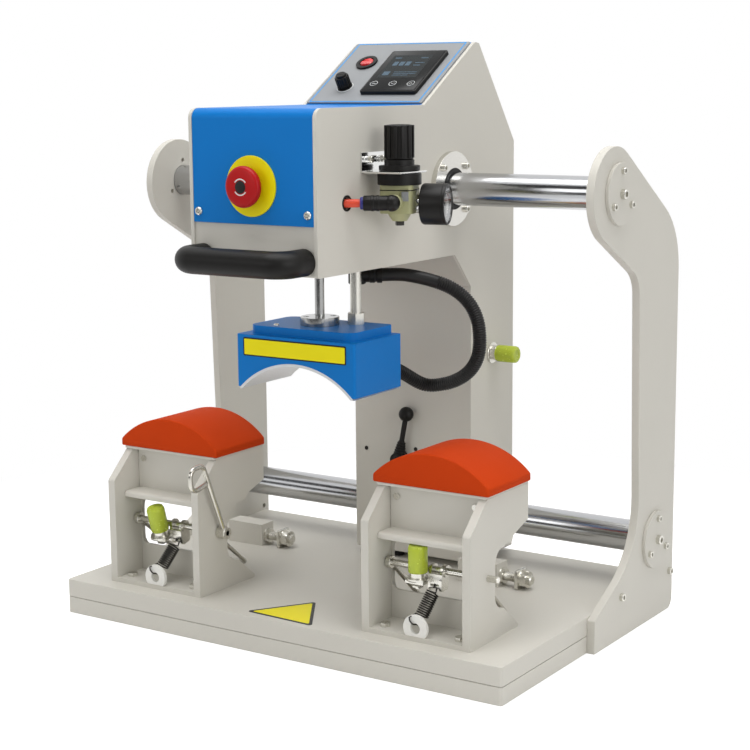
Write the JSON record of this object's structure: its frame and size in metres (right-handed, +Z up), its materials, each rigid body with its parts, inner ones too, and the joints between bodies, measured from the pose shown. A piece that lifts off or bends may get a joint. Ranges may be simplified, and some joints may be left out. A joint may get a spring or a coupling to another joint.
{
  "type": "cap heat press",
  "caption": "Bench heat press for caps: a pneumatic head with an arched heated platen slides on rails between domed cap stations",
  "frame": {"origin": "centre of the base's underside, on the bench", "axes": "+X right along the rails, +Y to the back, +Z up"},
  "size_m": [0.5988, 0.4535, 0.6316],
  "materials": {
    "grey_paint": "warm light grey powder coat",
    "panel_grey": "cool grey overlay with bare legends",
    "white_paint": "white enamel",
    "blue_paint": "satin blue powder coat",
    "ground_steel": "ground and polished shaft steel",
    "zinc_steel": "bright zinc plate",
    "bearing_steel": "machined steel",
    "black_steel": "blackened spring steel",
    "chrome_plate": "bright chrome plate",
    "cylinder_aluminium": "anodised aluminium",
    "shoe_aluminium": "matt cast aluminium",
    "bronze": "sintered bronze",
    "olive_casting": "olive grey painted casting",
    "black_plastic": "fine textured black plastic",
    "black_rubber": "matt black rubber",
    "red_plastic": "glossy red plastic",
    "yellow_plastic": "satin yellow plastic",
    "orange_silicone": "matt orange silicone",
    "lime_urethane": "lime urethane"
  },
  "bodies": {
    "frame": {"base_tray": "grey_paint", "base_deck": "grey_paint", "left_side_plate": "grey_paint", "right_side_plate": "grey_paint", "upper_rail": "ground_steel", "lower_rail": "ground_steel", "rail_caps": "grey_paint", "frame_screws": "zinc_steel", "left_station_frame": "grey_paint", "right_station_frame": "grey_paint", "front_panels": "grey_paint", "bed_plates": "grey_paint", "left_pad": "orange_silicone", "right_pad": "orange_silicone", "spring_lugs": "white_paint", "station_bolts": "zinc_steel", "stop_blocks": "grey_paint", "stop_screws": "zinc_steel", "left_spring": "black_steel", "right_spring": "black_steel"},
    "head": {"head_shell": "grey_paint", "front_cover": "blue_paint", "rear_cover": "grey_paint", "control_panel": "panel_grey", "display_unit": "black_plastic", "switch_body": "black_plastic", "fuse_holder": "black_plastic", "linear_bearings": "bearing_steel", "head_screws": "zinc_steel", "handle_grip": "black_rubber", "stop_ring": "yellow_plastic", "air_cylinder": "cylinder_aluminium", "guide_bush": "bronze", "regulator_body": "olive_casting", "regulator_bonnet": "black_plastic", "regulator_bracket": "chrome_plate", "air_fittings": "black_plastic", "gauge_case": "black_plastic", "air_valve": "black_plastic", "side_bumpers": "lime_urethane", "conduit": "black_rubber", "conduit_gland": "black_plastic"},
    "platen": {"platen_cover": "blue_paint", "heating_shoe": "shoe_aluminium", "cylinder_rod": "chrome_plate", "guide_rod": "chrome_plate"},
    "stop_push": {"stop_button": "red_plastic"},
    "rocker": {"power_rocker": "red_plastic"},
    "fuse": {"fuse_cap": "black_plastic"},
    "pressure_knob": {"regulator_knob": "black_plastic"},
    "needle": {"gauge_needle": "black_plastic"},
    "brake_arm": {"brake_lever": "black_plastic"},
    "brake_shoe": {"brake_foot": "zinc_steel"},
    "left_hand_lever": {"left_lever": "zinc_steel"},
    "right_hand_lever": {"right_lever": "zinc_steel"},
    "left_rocker_arm": {"left_arm": "zinc_steel"},
    "right_rocker_arm": {"right_arm": "zinc_steel"},
    "left_wire_bail": {"left_bail": "zinc_steel"},
    "right_wire_bail": {"right_bail": "zinc_steel"}
  },
  "joints": [
    {"name": "head_travel", "type": "slide", "parent": "frame", "child": "head", "axis": [1, 0, 0], "range_m": [-0.181, 0.157]},
    {"name": "platen_stroke", "type": "slide", "parent": "head", "child": "platen", "axis": [0, 0, -1], "range_m": [0, 0.074], "deforming": ["conduit"]},
    {"name": "stop_press", "type": "slide", "parent": "head", "child": "stop_push", "axis": [0, 1, 0], "range_m": [0, 0.004], "stiffness_N_per_m": 300},
    {"name": "rocker_tip", "type": "hinge", "parent": "head", "child": "rocker", "pos_m": [-0.025, 0.05241, 0.6083], "axis": [1, 0, 0], "range_deg": [0, 14]},
    {"name": "fuse_turn", "type": "hinge", "parent": "head", "child": "fuse", "pos_m": [-0.027, 0.0112, 0.58366], "axis": [0, -0.5311, 0.8473], "range_deg": [0, 90]},
    {"name": "pressure_turn", "type": "hinge", "parent": "head", "child": "pressure_knob", "pos_m": [0.12, -0.1105, 0.53], "axis": [0, 0, 1], "range_deg": [0, 300]},
    {"name": "needle_turn", "type": "hinge", "parent": "head", "child": "needle", "pos_m": [0.16303, -0.09734, 0.47], "axis": [0.9563, 0.2924, 0], "range_deg": [0, 230]},
    {"name": "brake_turn", "type": "hinge", "parent": "head", "child": "brake_arm", "pos_m": [0, 0.0725, 0.16], "axis": [0, 1, 0], "range_deg": [0, 35.2]},
    {"name": "brake_lift", "type": "slide", "parent": "head", "child": "brake_shoe", "axis": [0, 0, 1], "range_m": [0, 0.00803]},
    {"name": "left_lever_turn", "type": "hinge", "parent": "frame", "child": "left_hand_lever", "pos_m": [-0.169, -0.129, 0.1055], "axis": [1, 0, 0], "range_deg": [-88, 0]},
    {"name": "left_arm_tilt", "type": "hinge", "parent": "frame", "child": "left_rocker_arm", "pos_m": [-0.169, -0.129, 0.1055], "axis": [1, 0, 0], "range_deg": [-16, 0], "deforming": ["left_spring"]},
    {"name": "left_bail_swing", "type": "hinge", "parent": "frame", "child": "left_wire_bail", "pos_m": [-0.169, -0.129, 0.1055], "axis": [1, 0, 0], "range_deg": [-3, 52]},
    {"name": "right_lever_turn", "type": "hinge", "parent": "frame", "child": "right_hand_lever", "pos_m": [0.169, -0.129, 0.1055], "axis": [1, 0, 0], "range_deg": [0, 88]},
    {"name": "right_arm_tilt", "type": "hinge", "parent": "frame", "child": "right_rocker_arm", "pos_m": [0.169, -0.129, 0.1055], "axis": [1, 0, 0], "range_deg": [0, 16], "deforming": ["right_spring"]},
    {"name": "right_bail_swing", "type": "hinge", "parent": "frame", "child": "right_wire_bail", "pos_m": [0.169, -0.129, 0.1055], "axis": [1, 0, 0], "range_deg": [0, 55]}
  ],
  "couplings": [
    {"joint": "brake_turn", "follows": "brake_lift", "rad_per_m": 76.073},
    {"joint": "left_arm_tilt", "follows": "left_lever_turn", "ratio": 0.18182},
    {"joint": "right_arm_tilt", "follows": "right_lever_turn", "ratio": 0.18182}
  ]
}
